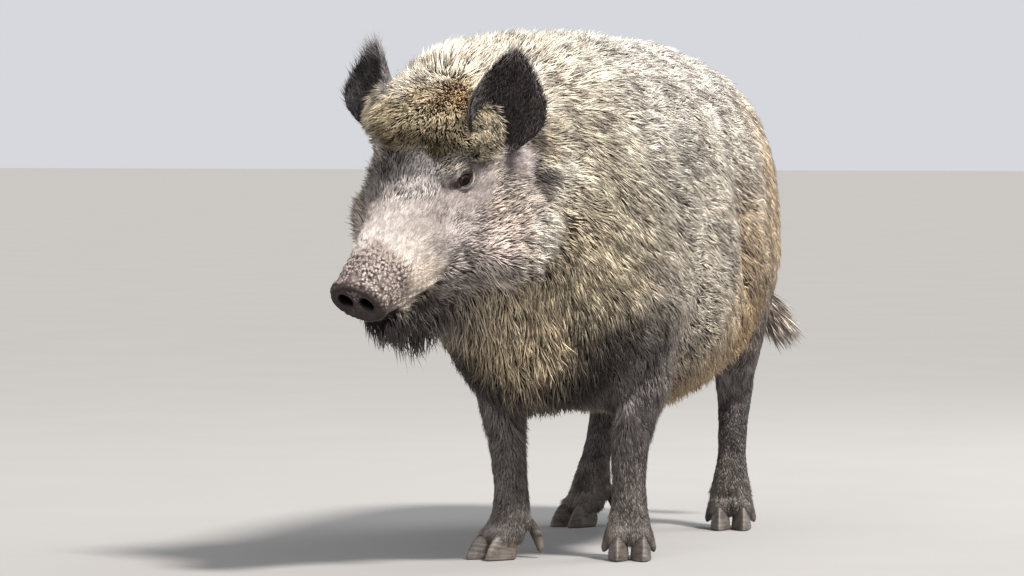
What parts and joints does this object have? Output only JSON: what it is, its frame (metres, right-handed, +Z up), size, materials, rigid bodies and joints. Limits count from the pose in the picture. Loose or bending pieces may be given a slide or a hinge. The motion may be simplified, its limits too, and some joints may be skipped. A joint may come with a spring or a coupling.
{
  "type": "wild boar",
  "caption": "Life-size still model of a standing wild boar in winter coat, head turned to its right and lowered, on cloven hooves.",
  "frame": {"origin": "on the floor, under the middle of the bounding box", "axes": "+Z up, -Y the way the body faces, +X the boar's left"},
  "size_m": [0.4812, 1.3952, 0.8304],
  "materials": {
    "coat": "coarse cream and grizzled bristle",
    "dark_coat": "short blackish hair",
    "ear": "short black hair",
    "snout": "moist dark skin",
    "hoof": "dull horn",
    "eye": "wet dark brown"
  },
  "bodies": {
    "root": {"head": "coat", "left_ear": "ear", "left_eye": "eye", "left_fore_dewclaw_left": "hoof", "left_fore_dewclaw_right": "hoof", "left_fore_hoof_left": "hoof", "left_fore_hoof_right": "hoof", "left_fore_leg_lower": "dark_coat", "left_fore_leg_upper": "dark_coat", "left_hind_dewclaw_left": "hoof", "left_hind_dewclaw_right": "hoof", "left_hind_hoof_left": "hoof", "left_hind_hoof_right": "hoof", "left_hind_leg_lower": "dark_coat", "left_hind_leg_upper": "dark_coat", "lower_jaw": "dark_coat", "neck": "coat", "right_ear": "ear", "right_eye": "eye", "right_fore_dewclaw_left": "hoof", "right_fore_dewclaw_right": "hoof", "right_fore_hoof_left": "hoof", "right_fore_hoof_right": "hoof", "right_fore_leg_lower": "dark_coat", "right_fore_leg_upper": "dark_coat", "right_hind_dewclaw_left": "hoof", "right_hind_dewclaw_right": "hoof", "right_hind_hoof_left": "hoof", "right_hind_hoof_right": "hoof", "right_hind_leg_lower": "dark_coat", "right_hind_leg_upper": "dark_coat", "snout_disc": "snout", "tail": "dark_coat", "trunk": "coat"}
  },
  "joints": []
}
